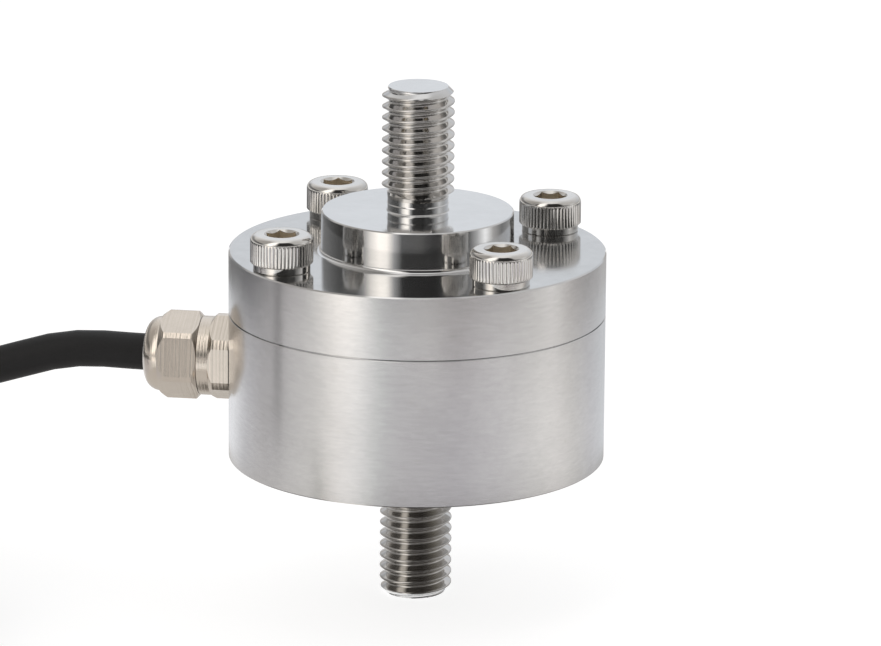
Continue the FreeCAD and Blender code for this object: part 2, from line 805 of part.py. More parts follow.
def make_cable():
    """Cable from the gland to its coil, the coil, its tie and the stripped ends."""
    diameter = value("cable_diameter")
    points = [at_gland(reach, 0, height) for reach, height in CABLE_ROUTE]
    tube, length, radii = tube_along(points, diameter)
    add_shape("cable", tube)
    print("cable", round(length, 1), "mm, radii", [round(radius, 1) for radius in radii])
    half_width = (value("coil_turns_across") * diameter + value("coil_slack")) / 2
    height = value("coil_rows") * diameter + value("coil_slack")
    bottom = value("tie_thickness")
    middle = value("coil_across / 2")
    last_turn = middle + (value("coil_turns_across") - 1) * diameter / 2
    centre = at_gland(CABLE_ROUTE[-1][0] + value("coil_stub"), last_turn, 0)
    ring = Part.makeCylinder(middle + half_width, height, centre + FreeCAD.Vector(0, 0, bottom))
    ring = ring.cut(Part.makeCylinder(middle - half_width, height, centre + FreeCAD.Vector(0, 0, bottom)))
    rims = [edge for edge in ring.Edges if isinstance(edge.Curve, Part.Circle)]
    ring = ring.makeChamfer(value("coil_chamfer"), rims)
    stub = value("coil_stub")
    arriving = Part.makeCylinder(diameter / 2, stub, points[-1], at_gland(1, 0, 0))
    end = centre + FreeCAD.Vector(stub, -last_turn, bottom + diameter / 2)
    leaving = Part.makeCylinder(diameter / 2, stub, end, FreeCAD.Vector(-1, 0, 0))
    add_shape("cable_coil", only_solid(ring.multiFuse([arriving, leaving])))
    make_tie(centre, middle, half_width, height)
    make_stripped_ends(end)


def make_tie(centre, middle, half_width, height):
    """Flat wire tie round the coil, with its two ends twisted together and laid on top."""
    gap = value("thread_gap")
    thick = value("tie_thickness")
    inner = middle - half_width - gap
    outer = middle + half_width + gap
    low = thick - gap
    high = thick + height + gap

    def frame(grow):
        left, right, base, top = inner - grow, outer + grow, low - grow, high + grow
        corners = [(left, base), (right, base), (right, top), (left, top), (left, base)]
        return Part.Face(Part.makePolygon([FreeCAD.Vector(across, 0, up) for across, up in corners]))

    band = frame(low).cut(frame(0))
    axis = FreeCAD.Vector(0, 0, 1)
    band = band.revolve(FreeCAD.Vector(), axis, math.degrees(value("tie_width") / middle))
    twist = value("twist_width")
    twist_level = high + thick + twist / 4
    sections = []
    for step in range(TWIST_STEPS + 1):
        turn = FreeCAD.Rotation(FreeCAD.Vector(0, 1, 0), TWIST_PER_STEP * step)
        place = FreeCAD.Vector(middle, value("tie_tail") * step / TWIST_STEPS, twist_level)
        corners = [(-1, -1), (1, -1), (1, 1), (-1, 1), (-1, -1)]
        flat = [FreeCAD.Vector(across * twist / 2, 0, up * thick / 2) for across, up in corners]
        sections.append(Part.makePolygon([turn.multVec(point) + place for point in flat]))
    tie = band.fuse(Part.makeLoft(sections, True, True))
    tie.Placement = FreeCAD.Placement(centre, FreeCAD.Rotation(axis, TIE_ANGLE))
    add_shape("cable_tie", only_solid(tie))


def make_stripped_ends(end):
    """Four insulated cores with bare tips and the twisted shield, fanned out on the bench."""
    core = value("core_diameter")
    resting = core / 2 + value("thread_gap")
    bend = end.x + value("stripped_straight")
    landing = bend + value("stripped_drop")
    tip = landing + value("stripped_flat")
    for number, side, rise, wide, late in core_places(END_SPREAD):
        route = [
            end + FreeCAD.Vector(0, side, rise),
            FreeCAD.Vector(bend + late, end.y + side, end.z + rise),
            FreeCAD.Vector(landing + late, end.y + (side + wide) / 2, resting),
            FreeCAD.Vector(tip + late, end.y + wide, resting),
        ]
        insulation, _, _ = tube_along(route, core)
        way = route[-1] - route[-2]
        bare = Part.makeCylinder(value("bare_diameter / 2"), value("bare_length"), route[-1], way)
        add_shape(f"core_end_{number}", only_solid(insulation.fuse(bare)))
    route = [
        end,
        FreeCAD.Vector(bend, end.y, end.z),
        FreeCAD.Vector(landing, end.y, resting),
        FreeCAD.Vector(tip, end.y, resting),
    ]
    shield, _, _ = tube_along(route, value("shield_diameter"))
    add_shape("shield_end", shield)


def check_document():
    """Stop if any object failed, or if a sub-part isn't one valid solid."""
    for item in doc.Objects:
        if "Invalid" in item.State or "Error" in item.State:
            raise RuntimeError(f"{item.Label} failed: {item.State}")
    for item in sub_parts:
        if item.Shape.isNull() or not item.Shape.isValid() or len(item.Shape.Solids) != 1:
            raise RuntimeError(f"{item.Label} isn't one valid solid")


# Turns of the screws' sockets, as they were left when tightened
SOCKET_TURNS = (27.0, 37.4, -2.0, 0.0)

make_base_housing()
make_sensing_element()
for screw in range(SIZES["bolt_count"]):
    make_cap_screw(screw + 1, SOCKET_TURNS[screw % len(SOCKET_TURNS)])
make_seals()
make_gland_body()
make_gland_dome_nut()
make_gland_clamp_cage()
make_gland_seal_sleeve()
make_bridge()
make_gauge_leads()
make_core_wires()
make_cable()
doc.recompute()
check_document()
os.makedirs("parts", exist_ok=True)
for item in sub_parts:
    item.Shape.exportStep(f"parts/{item.Label}.step")
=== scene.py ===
import bmesh
import bpy
import json
import math
from mathutils import Matrix, Vector


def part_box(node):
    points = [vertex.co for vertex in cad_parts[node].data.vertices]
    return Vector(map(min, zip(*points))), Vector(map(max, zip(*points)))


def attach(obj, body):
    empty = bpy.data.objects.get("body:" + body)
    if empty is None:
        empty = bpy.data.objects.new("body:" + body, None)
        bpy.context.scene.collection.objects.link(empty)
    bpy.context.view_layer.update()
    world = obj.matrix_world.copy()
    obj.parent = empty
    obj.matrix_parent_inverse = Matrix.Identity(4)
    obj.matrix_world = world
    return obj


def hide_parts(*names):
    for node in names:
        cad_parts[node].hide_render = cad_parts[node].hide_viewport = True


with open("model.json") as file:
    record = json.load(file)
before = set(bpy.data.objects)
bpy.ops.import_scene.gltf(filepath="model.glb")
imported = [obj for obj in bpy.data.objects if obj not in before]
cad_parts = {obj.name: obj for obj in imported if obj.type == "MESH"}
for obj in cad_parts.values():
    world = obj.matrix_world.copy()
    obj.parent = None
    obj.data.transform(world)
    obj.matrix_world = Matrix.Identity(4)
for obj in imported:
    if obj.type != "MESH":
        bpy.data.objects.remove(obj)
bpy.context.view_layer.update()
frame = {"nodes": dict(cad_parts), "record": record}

MM = 0.001

# Levels and radii of the housing and the sensing element in millimetres, as in the solids
UNDERSIDE = 19.8
SEAM = 40.3
FLANGE_TOP = 49.1
BOSS_TOP = 54.7
TIP = 72.2
HOUSING = 26.0
BOSS = 13.3
NECK = 4.2
STUD = 5.0

# Their edges, and flats beside a round edge, which keep the shading of a long face even
STUD_CHAMFER = 0.9
FOOT_EDGE = 0.14
FLANGE_EDGE = 0.18
SEAM_EDGE = 0.06
SEAM_REACH = 0.5
HOUSING_LIP = 0.09
ELEMENT_LIP = 0.07
BOSS_FILLET = 0.5
BOSS_DRAFT = 0.08
BOSS_FIRST_DRAFT = 0.002
BOSS_EDGE = 0.16
NECK_FILLET = 0.2
FLAT = 0.1

# The turned ridge on the neck, and where the threads run out: the upper one at levels above the boss
RIDGE_RISE = 1.15
RIDGE_HEIGHT = 0.07
RIDGE_HALF_WIDTH = 0.1
RUN_OUT = 1.9
RUN_OUT_RISE = 0.55
RUN_OUT_HEIGHT = 0.06
FULL_THREAD = 2.9
# How far below the full thread the darker thread steel, with its painted shade, begins
THREAD_STEEL_DROP = 1.2
LOWER_RUN_OUT = 0.35

# The studs' thread, and the level of a crest on each stud
PITCH = 1.56
CREST_ROUND = 0.17
ROOT_ROUND = 0.22
ROOT_DEPTH = 0.962
FLANK_INSET = 0.12
LOWER_CREST = 1.37
UPPER_CREST = 1.48

TURNED_SIDES = 192
SHARP_EDGE = 28
MERGE_DISTANCE = 2e-6
SHORTEST_EDGE = 1e-6


# Meshes

def new_piece(name, vertices, faces, material, replaced):
    """A mesh piece in millimetres on the root body, with smooth shading and crisp corners."""
    mesh = bpy.data.meshes.new(name)
    mesh.from_pydata([(x * MM, y * MM, z * MM) for x, y, z in vertices], [], faces)
    work = bmesh.new()
    work.from_mesh(mesh)
    bmesh.ops.remove_doubles(work, verts=work.verts, dist=MERGE_DISTANCE)
    bmesh.ops.dissolve_degenerate(work, edges=work.edges, dist=SHORTEST_EDGE)
    bmesh.ops.recalc_face_normals(work, faces=work.faces)
    work.to_mesh(mesh)
    work.free()
    for polygon in mesh.polygons:
        polygon.use_smooth = True
    mesh.set_sharp_from_angle(angle=math.radians(SHARP_EDGE))
    mesh.materials.append(material)
    piece = bpy.data.objects.new(name, mesh)
    bpy.context.scene.collection.objects.link(piece)
    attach(piece, "root")
    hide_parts(*replaced)
    return piece


def rings_to_faces(count, columns, first=0):
    """Quads between neighbouring rings, where each ring repeats its first point at its end."""
    faces = []
    for ring in range(count - 1):
        for column in range(columns):
            low = first + ring * (columns + 1) + column
            faces.append((low, low + 1, low + columns + 2, low + columns + 1))
    return faces


def turned_rings(profile, columns):
    """Rings of points round the Z axis, one for each (radius, height) of the profile."""
    vertices = []
    for radius, height in profile:
        for column in range(columns + 1):
            angle = 2 * math.pi * column / columns
            vertices.append((radius * math.cos(angle), radius * math.sin(angle), height))
    return vertices


def thread_shape():
    """One pitch of the thread from a crest to the next: shares of the pitch, and depths below the crest."""
    shape = []
    root = []
    for angle in (0, 20, 40, 60):
        aside = math.sin(math.radians(angle)) / PITCH
        drop = 1 - math.cos(math.radians(angle))
        shape.append((CREST_ROUND * aside, CREST_ROUND * drop))
        root.insert(0, (0.5 - ROOT_ROUND * aside, ROOT_DEPTH - ROOT_ROUND * drop))
    high, low = shape[-1], root[0]
    for along in (FLANK_INSET, 1 - FLANK_INSET):
        shape.append((high[0] + along * (low[0] - high[0]), high[1] + along * (low[1] - high[1])))
    shape += root
    return shape + [(1 - share, depth) for share, depth in shape[-2:0:-1]]


def thread_rings(bottom, top, crest_level, limit, columns):
    """Rings that follow a right-hand thread between two levels, kept inside the limit at each level."""
    turns = math.ceil((top - bottom) / PITCH) + 3
    lowest = bottom - 2 * PITCH + (crest_level - bottom) % PITCH
    vertices = []
    rings = 0
    for turn in range(turns + 1):
        for share, depth in thread_shape():
            rings += 1
            for column in range(columns + 1):
                around = column / columns
                height = lowest + PITCH * (turn + share + around)
                radius = min(STUD - depth, limit(height)) if bottom < height < top else limit(height)
                height = min(max(height, bottom), top)
                angle = 2 * math.pi * around
                vertices.append((radius * math.cos(angle), radius * math.sin(angle), height))
    return vertices, rings


def between(points):
    """Radius at a level, on straight lines between (level, radius) points."""
    def radius(level):
        if level <= points[0][0]:
            return points[0][1]
        for (low, start), (high, end) in zip(points, points[1:]):
            if level <= high:
                return start + (end - start) * (level - low) / (high - low)
        return points[-1][1]
    return radius


# Radii and a tolerance that tell a turned piece's faces apart, and their places in its materials
WALL_FROM = 25.95
FLANGE_FROM = 14
FLATNESS = 0.02
THREAD_TO = 5.1
SATIN, THREAD, FLANGE = 1, 2, 3


def threaded_piece(name, profile, thread, bottom, top, replaced):
    """A turned piece with a threaded stud between two levels, from its profile and its thread's rings."""
    vertices = turned_rings(profile, TURNED_SIDES)
    faces = rings_to_faces(len(profile), TURNED_SIDES)
    stud, rings = thread
    faces += rings_to_faces(rings, TURNED_SIDES, len(vertices))
    vertices += stud
    piece = new_piece(name, vertices, faces, polished_steel, replaced)
    for material in (satin_steel, painted_shade_thread_steel, flange_steel):
        piece.data.materials.append(material)
    for polygon in piece.data.polygons:
        reach = math.hypot(polygon.center.x, polygon.center.y)
        level = polygon.center.z
        if reach > WALL_FROM * MM:
            polygon.material_index = SATIN
        elif reach > FLANGE_FROM * MM and abs(level - FLANGE_TOP * MM) < FLATNESS * MM:
            polygon.material_index = FLANGE
        elif reach < THREAD_TO * MM and bottom * MM < level < top * MM:
            polygon.material_index = THREAD
    return piece


def arc(centre_radius, centre_height, size, start, end, steps):
    """Points of a round edge, from one angle to another in degrees."""
    points = []
    for step in range(steps + 1):
        angle = math.radians(start + (end - start) * step / steps)
        points.append((centre_radius + size * math.cos(angle), centre_height + size * math.sin(angle)))
    return points


# Materials

def new_material(name):
    """A material with nodes, its tree and its surface shader."""
    material = bpy.data.materials.new(name)
    material.use_nodes = True
    return material, material.node_tree, material.node_tree.nodes["Principled BSDF"]


def node(tree, kind, inputs=None, **settings):
    """A shader node with its settings, and its inputs set to numbers or linked to sockets."""
    made = tree.nodes.new(kind)
    for key, setting in settings.items():
        setattr(made, key, setting)
    for key, item in (inputs or {}).items():
        if isinstance(item, bpy.types.NodeSocket):
            tree.links.new(item, made.inputs[key])
        else:
            made.inputs[key].default_value = item
    return made


def ramp(tree, factor, stops):
    """A colour ramp with (position, colour or grey) stops."""
    made = node(tree, "ShaderNodeValToRGB", {"Fac": factor})
    elements = made.color_ramp.elements
    while len(elements) < len(stops):
        elements.new(1.0)
    for element, (position, colour) in zip(elements, stops):
        element.position = position
        element.color = (*colour, 1) if hasattr(colour, "__len__") else (colour, colour, colour, 1)
    return made.outputs["Color"]


def math_node(tree, operation, first, second=0.0, third=0.0):
    """The outcome of a sum on numbers or sockets."""
    return node(tree, "ShaderNodeMath", {0: first, 1: second, 2: third}, operation=operation).outputs[0]


def mixed(tree, factor, first, second, blend="MIX"):
    """A colour mixed from two, each a colour or a socket."""
    made = node(tree, "ShaderNodeMix", {0: factor, 6: first, 7: second}, data_type="RGBA", blend_type=blend)
    return made.outputs[2]


def noise(tree, place, scale, detail=4.0, roughness=0.6):
    """Cloudy values from 0 to 1, finer with a larger scale."""
    settings = {"Vector": place, "Scale": scale, "Detail": detail, "Roughness": roughness}
    return node(tree, "ShaderNodeTexNoise", settings).outputs["Fac"]


def object_place(tree):
    """Position in the piece's own space."""
    return node(tree, "ShaderNodeTexCoord").outputs["Object"]


# Share of the radius in a turning mark's place, so that marks run round flat faces as well as walls
RADIUS_SHARE = 0.73


def along_stud(tree, place):
    """Position along a turned surface round the studs' axis."""
    parts = node(tree, "ShaderNodeSeparateXYZ", {0: place}).outputs
    square = math_node(tree, "MULTIPLY", parts["Y"], parts["Y"])
    reach = math_node(tree, "SQRT", math_node(tree, "MULTIPLY_ADD", parts["X"], parts["X"], square))
    return math_node(tree, "MULTIPLY_ADD", reach, RADIUS_SHARE, parts["Z"])


def along_gland(tree, place):
    """Position along the gland's axis."""
    made = node(tree, "ShaderNodeVectorMath", {0: place, 1: tuple(OUT)}, operation="DOT_PRODUCT")
    return made.outputs["Value"]


def metal(name, colour, roughness, spread, marks=0.0, mark_size=9000.0, mark_depth=0.00001, stains=0.0,
          spots=0.0, streaks=0.0, along=along_stud):
    """Machined metal: turning marks along its profile, blotches in the sheen, and faint brown spots."""
    material, tree, shader = new_material(name)
    place = object_place(tree)
    turning = node(tree, "ShaderNodeTexNoise", {"W": along(tree, place), "Scale": mark_size, "Detail": 3.0},
                   noise_dimensions="1D").outputs["Fac"]
    grain = noise(tree, place, 2600.0, roughness=0.7)
    dull = tuple((1 - stains) * part for part in colour)
    tint = ramp(tree, noise(tree, place, 140.0, 5.0), [(0.35, dull), (0.65, colour)])
    dabs = ramp(tree, noise(tree, place, 330.0, 6.0, 0.7), [(0.60, 0.0), (0.72, spots)])
    tint = mixed(tree, dabs, tint, tuple(0.8 * part for part in colour[:2]) + (0.7 * colour[2], 1))
    if streaks:
        flat = node(tree, "ShaderNodeVectorMath", {0: place, 1: (1, 1, 4.5)}, operation="MULTIPLY")
        clouds = noise(tree, flat.outputs["Vector"], 520.0, 6.0, 0.72)
        shade = ramp(tree, clouds, [(0.30, 1.0 - streaks), (0.70, 1.0)])
        tint = mixed(tree, 1.0, tint, shade, "MULTIPLY")
    tree.links.new(tint, shader.inputs["Base Color"])
    uneven = math_node(tree, "MULTIPLY_ADD", grain, spread, roughness - spread)
    uneven = math_node(tree, "MULTIPLY_ADD", turning, spread, uneven)
    tree.links.new(uneven, shader.inputs["Roughness"])
    shader.inputs["Metallic"].default_value = 1.0
    if marks:
        height = math_node(tree, "MULTIPLY_ADD", turning, 1.0, math_node(tree, "MULTIPLY", grain, 0.3))
        bump = node(tree, "ShaderNodeBump", {"Strength": marks, "Distance": mark_depth, "Height": height})
        tree.links.new(bump.outputs[0], shader.inputs["Normal"])
    return material


def moulded(name, colour, roughness):
    """Moulded plastic, rubber or enamel with a fine skin."""
    material, tree, shader = new_material(name)
    place = object_place(tree)
    grain = noise(tree, place, 3000.0, roughness=0.65)
    darker = tuple(0.86 * part for part in colour)
    lighter = tuple(min(1.0, 1.08 * part) for part in colour)
    tint = ramp(tree, noise(tree, place, 220.0, 3.0), [(0.35, darker), (0.65, lighter)])
    tree.links.new(tint, shader.inputs["Base Color"])
    uneven = math_node(tree, "MULTIPLY_ADD", grain, 0.16, roughness - 0.08)
    tree.links.new(uneven, shader.inputs["Roughness"])
    bump = node(tree, "ShaderNodeBump", {"Strength": 0.3, "Distance": 0.00003, "Height": grain})
    tree.links.new(bump.outputs[0], shader.inputs["Normal"])
    return material


def banded(name, light, dark, size, metallic, roughness):
    """Fine parallel lines, as on a gauge's foil or a shield's strands."""
    material, tree, shader = new_material(name)
    place = object_place(tree)
    settings = {"Vector": place, "Scale": size, "Distortion": 0.6, "Detail": 1.0}
    wave = node(tree, "ShaderNodeTexWave", settings, bands_direction="DIAGONAL").outputs["Fac"]
    tree.links.new(ramp(tree, wave, [(0.3, dark), (0.7, light)]), shader.inputs["Base Color"])
    uneven = math_node(tree, "MULTIPLY_ADD", noise(tree, place, 1500.0), 0.2, roughness - 0.1)
    tree.links.new(uneven, shader.inputs["Roughness"])
    shader.inputs["Metallic"].default_value = metallic
    bump = node(tree, "ShaderNodeBump", {"Strength": 0.4, "Distance": 0.00003, "Height": wave})
    tree.links.new(bump.outputs[0], shader.inputs["Normal"])
    return material


def laminate(name):
    """Green board with paler copper tracks under its coat."""
    material, tree, shader = new_material(name)
    place = object_place(tree)
    tracks = node(tree, "ShaderNodeTexBrick", {
        "Vector": place,
        "Color1": (0.02, 0.16, 0.06, 1),
        "Color2": (0.02, 0.18, 0.07, 1),
        "Mortar": (0.07, 0.34, 0.13, 1),
        "Scale": 170.0,
        "Mortar Size": 0.05,
        "Mortar Smooth": 0.1,
    }).outputs["Color"]
    coat = ramp(tree, noise(tree, place, 900.0), [(0.3, 0.02), (0.7, 0.12)])
    tree.links.new(mixed(tree, 0.25, tracks, coat), shader.inputs["Base Color"])
    shader.inputs["Roughness"].default_value = 0.3
    return material


def insulated(name, colour, bare_from):
    """A core's insulation, and tinned copper strands beyond a position towards the core's tip."""
    material, tree, shader = new_material(name)
    place = object_place(tree)
    reach = node(tree, "ShaderNodeSeparateXYZ", {0: place}).outputs["X"]
    bare = math_node(tree, "GREATER_THAN", reach, bare_from)
    darker = tuple(0.85 * part for part in colour)
    skin = ramp(tree, noise(tree, place, 800.0), [(0.3, darker), (0.7, colour)])
    settings = {"Vector": place, "Scale": 900.0, "Distortion": 1.0}
    strands = node(tree, "ShaderNodeTexWave", settings, bands_direction="DIAGONAL").outputs["Fac"]
    copper = ramp(tree, strands, [(0.2, (0.52, 0.46, 0.40)), (0.8, (0.80, 0.76, 0.71))])
    tree.links.new(mixed(tree, bare, skin, copper), shader.inputs["Base Color"])
    tree.links.new(bare, shader.inputs["Metallic"])
    sheen = math_node(tree, "MULTIPLY_ADD", bare, -0.12, 0.42)
    tree.links.new(sheen, shader.inputs["Roughness"])
    return material


# The cable gland's direction, and the one to its left
GLAND_HEADING = 171.4
OUT = Vector((math.cos(math.radians(GLAND_HEADING)), math.sin(math.radians(GLAND_HEADING)), 0))
LEFT = Vector((-OUT.y, OUT.x, 0))

satin_steel = metal("satin_steel", (0.82, 0.81, 0.80), 0.23, 0.05, stains=0.06, spots=0.14, streaks=0.09)
polished_steel = metal("polished_steel", (0.77, 0.77, 0.77), 0.09, 0.03, stains=0.05, spots=0.05,
                       streaks=0.05)
flange_steel = metal("flange_steel", (0.66, 0.66, 0.66), 0.11, 0.04, marks=0.04, stains=0.06, spots=0.08,
                     streaks=0.08)
screw_steel = metal("screw_steel", (0.80, 0.78, 0.75), 0.11, 0.03, marks=0.10, stains=0.10, spots=0.15)
socket_steel = metal("socket_steel", (0.90, 0.83, 0.72), 0.35, 0.05, stains=0.2)
# The thread's steel is the polished steel made darker and warmer: painted shade between the thread's turns,
# with random stains and spots on top
painted_shade_thread_steel = metal("painted_shade_thread_steel", (0.70, 0.685, 0.665), 0.09, 0.03, stains=0.12, spots=0.1)
gland_nickel = metal("gland_nickel", (0.80, 0.725, 0.64), 0.21, 0.08, marks=1.0, mark_size=2600.0,
                     mark_depth=0.00003, stains=0.08, spots=0.3, along=along_gland)
sheath = moulded("cable_sheath", (0.009, 0.009, 0.010), 0.6)


# Housing and sensing element

def make_housing():
    """Cup shaped lower body with its threaded stud, from the stud's tip up to the seam."""
    root = STUD - ROOT_DEPTH
    profile = [
        (root, UNDERSIDE),
        (HOUSING - FOOT_EDGE, UNDERSIDE),
        (HOUSING, UNDERSIDE + FOOT_EDGE),
        (HOUSING, SEAM - HOUSING_LIP - SEAM_EDGE),
        (HOUSING - SEAM_EDGE, SEAM - HOUSING_LIP),
        (HOUSING - SEAM_REACH, SEAM - HOUSING_LIP),
        (HOUSING - SEAM_REACH, SEAM),
        (0.0, SEAM),
    ]
    limit = between([
        (0.0, STUD - STUD_CHAMFER),
        (STUD_CHAMFER, STUD),
        (UNDERSIDE - LOWER_RUN_OUT, STUD),
        (UNDERSIDE, root),
    ])
    thread, rings = thread_rings(0.0, UNDERSIDE, LOWER_CREST, limit, TURNED_SIDES)
    tip = turned_rings([(0.0, 0.0)], TURNED_SIDES)
    stud = (tip + thread, rings + 1)
    piece = threaded_piece("housing", profile, stud, STUD_CHAMFER, UNDERSIDE, ["base_housing"])


def make_element():
    """Flange, boss and upper stud, from the seam up to the stud's tip."""
    start = BOSS_TOP + RUN_OUT
    full = BOSS_TOP + FULL_THREAD
    ridge = BOSS_TOP + RIDGE_RISE
    profile = [
        (0.0, SEAM),
        (HOUSING - SEAM_REACH, SEAM),
        (HOUSING - SEAM_REACH, SEAM + ELEMENT_LIP),
        (HOUSING - SEAM_EDGE, SEAM + ELEMENT_LIP),
        (HOUSING, SEAM + ELEMENT_LIP + SEAM_EDGE),
        (HOUSING, FLANGE_TOP - FLANGE_EDGE),
        (HOUSING - FLANGE_EDGE, FLANGE_TOP),
        (BOSS + BOSS_FILLET + FLAT, FLANGE_TOP),
    ]
    profile += arc(BOSS + BOSS_FILLET, FLANGE_TOP + BOSS_FILLET, BOSS_FILLET, 270, 180, 5)
    profile += [
        (BOSS - BOSS_FIRST_DRAFT, FLANGE_TOP + BOSS_FILLET + FLAT),
        (BOSS - BOSS_DRAFT, BOSS_TOP - BOSS_EDGE),
        (BOSS - BOSS_DRAFT - BOSS_EDGE, BOSS_TOP),
        (NECK + NECK_FILLET + FLAT, BOSS_TOP),
    ]
    profile += arc(NECK + NECK_FILLET, BOSS_TOP + NECK_FILLET, NECK_FILLET, 270, 180, 3)
    profile += [
        (NECK, BOSS_TOP + NECK_FILLET + FLAT),
        (NECK, ridge - RIDGE_HALF_WIDTH),
        (NECK + RIDGE_HEIGHT, ridge),
        (NECK, ridge + RIDGE_HALF_WIDTH),
        (NECK, start),
    ]
    limit = between([
        (start, NECK),
        (start + RUN_OUT_RISE, NECK + RUN_OUT_HEIGHT),
        (full, STUD),
        (TIP - STUD_CHAMFER, STUD),
        (TIP, STUD - STUD_CHAMFER),
    ])
    thread, rings = thread_rings(start, TIP, UPPER_CREST, limit, TURNED_SIDES)
    tip = turned_rings([(0.0, TIP)], TURNED_SIDES)
    stud = (thread + tip, rings + 1)
    bottom = full - THREAD_STEEL_DROP
    piece = threaded_piece("sensing_body", profile, stud, bottom, TIP - STUD_CHAMFER, ["sensing_element"])


make_housing()
make_element()


# Cap screws

# Sizes in millimetres, with levels from the flange's top, and each screw's turn in degrees
SCREW_RING = 21.6
SCREW_HEADING = 31.5
SCREW_TURNS = (27.0, 37.4, -2.0, 0.0)
SHANK = 2.45
SHANK_LENGTH = 16.0
SHANK_CHAMFER = 0.6
COLLAR = 3.9
COLLAR_EDGE = 0.12
COLLAR_TOP = 0.95
SHOULDER = 4.1
SHOULDER_LEVEL = 0.99
KNURL_FOOT = 1.17
KNURL_TOP = 3.85
HEAD = 4.3
HEAD_TOP = 5.0
HEAD_ROUND = 0.9
RIBS = 50
RIB_COLUMNS = 12
RIB_DEPTH = 0.12
SOCKET = 2.0
SOCKET_MOUTH = 2.40
SOCKET_SLOPE = 0.9
SOCKET_FOOT = 2.5
SOCKET_POINT = 2.1

# Where a screw's faces belong to its socket
SOCKET_STEEL_REACH = 2.33
SOCKET_STEEL_FOOT = 2.0
SOCKET_STEEL_TOP = 4.6


def screw_outline():
    """Radius and height from the shank's end up to the socket's mouth, and the places that have the knurl."""
    outline = [
        (0.0, -SHANK_LENGTH),
        (SHANK - SHANK_CHAMFER, -SHANK_LENGTH),
        (SHANK, SHANK_CHAMFER - SHANK_LENGTH),
        (SHANK, 0.0),
        (COLLAR - COLLAR_EDGE, 0.0),
        (COLLAR, COLLAR_EDGE),
        (COLLAR, COLLAR_TOP),
    ]
    first = len(outline)
    outline += [(SHOULDER, SHOULDER_LEVEL), (HEAD, KNURL_FOOT), (HEAD, KNURL_TOP)]
    knurled = range(first, len(outline))
    outline += arc(HEAD - HEAD_ROUND, HEAD_TOP - HEAD_ROUND, HEAD_ROUND, 0, 90, 9)
    return outline + [(SOCKET_MOUTH, HEAD_TOP)], knurled


def screw_rings(columns):
    """Points of a screw on the flange's top at the middle, and the number of its rings."""
    outline, knurled = screw_outline()
    angles = [2 * math.pi * column / columns for column in range(columns + 1)]
    vertices = []
    for index, (radius, height) in enumerate(outline):
        for column, angle in enumerate(angles):
            aside = 1 - 2 * abs((column % RIB_COLUMNS) / RIB_COLUMNS - 0.5)
            size = min(radius, HEAD - RIB_DEPTH * aside ** 2) if index in knurled else radius
            vertices.append((size * math.cos(angle), size * math.sin(angle), height))
    for foot in (False, True):
        for angle in angles:
            wall = SOCKET / math.cos(angle % (math.pi / 3) - math.pi / 6)
            height = SOCKET_FOOT if foot else HEAD_TOP - (SOCKET_MOUTH - wall) * SOCKET_SLOPE
            vertices.append((wall * math.cos(angle), wall * math.sin(angle), height))
    vertices += [(0.0, 0.0, SOCKET_POINT)] * (columns + 1)
    return vertices, len(outline) + 3


def make_screw(number):
    """Socket head cap screw with a straight knurl and a countersunk hexagon socket."""
    columns = RIBS * RIB_COLUMNS
    vertices, rings = screw_rings(columns)
    turn = Matrix.Rotation(math.radians(SCREW_TURNS[number - 1]), 3, "Z")
    around = math.radians(SCREW_HEADING + 90 * number)
    middle = Vector((SCREW_RING * math.cos(around), SCREW_RING * math.sin(around), FLANGE_TOP))
    placed = [turn @ Vector(vertex) + middle for vertex in vertices]
    name = f"cap_screw_knurled_{number}"
    piece = new_piece(name, placed, rings_to_faces(rings, columns), screw_steel, [f"cap_screw_{number}"])
    piece.data.materials.append(socket_steel)
    for polygon in piece.data.polygons:
        place = polygon.center / MM - middle
        inside = place.to_2d().length < SOCKET_STEEL_REACH
        if inside and SOCKET_STEEL_FOOT < place.z < SOCKET_STEEL_TOP:
            polygon.material_index = 1


for number in (1, 2, 3, 4):
    make_screw(number)


# Cable

# The same route points as the solids have: distance along the gland's axis and height in millimetres
CABLE_ROUTE = [
    (13.5, 32.57),
    (27.0, 32.55),
    (38.5, 32.60),
    (49.5, 33.00),
    (61.5, 28.65),
    (73.0, 28.65),
]

# The put-away length, which is wound into a coil, and the straight end behind it
CABLE = 5.1
COIL_START = 92.0
OUTER_TURN = 32.76
TOP_LAYER = 28.65
LAYER_TURNS = 2.65
DROP_TURNS = 0.3248
FULL_TURNS = 17
LAST_HEADING = 270
TURN_POINTS = 30
END_REACH = 19.0
END_STRAIGHT = 9.0
END_LEVEL = 3.15


def coil_place(turns):
    """Radius and height after some turns, in flat spirals in and out that each drop to the next."""
    layer, rest = divmod(turns, LAYER_TURNS + DROP_TURNS)
    wound = min(rest / LAYER_TURNS, 1.0)
    dropped = max((rest - LAYER_TURNS) / DROP_TURNS, 0.0)
    inwards = wound if layer % 2 == 0 else 1.0 - wound
    height = TOP_LAYER - CABLE * (layer + dropped * dropped * (3 - 2 * dropped))
    return OUTER_TURN - CABLE * LAYER_TURNS * inwards, height


def cable_points():
    """Control points: the route out of the gland, the coil's turns, and a straight end."""
    points = [OUT * reach + Vector((0, 0, height)) for reach, height in CABLE_ROUTE]
    centre = OUT * COIL_START + LEFT * OUTER_TURN
    first_heading = GLAND_HEADING - 90
    turns = FULL_TURNS + (LAST_HEADING - first_heading) / 360
    steps = round(turns * TURN_POINTS)
    stretch = 1 / math.cos(math.pi / TURN_POINTS)
    for step in range(steps + 1):
        done = turns * step / steps
        radius, height = coil_place(done)
        angle = math.radians(first_heading) + 2 * math.pi * done
        around = Vector((math.cos(angle), math.sin(angle), 0)) * radius * stretch
        points.append(centre + around + Vector((0, 0, height)))
    end = centre + Vector((END_REACH, -OUTER_TURN, END_LEVEL))
    return points + [end - Vector((END_STRAIGHT, 0, 0)), end]


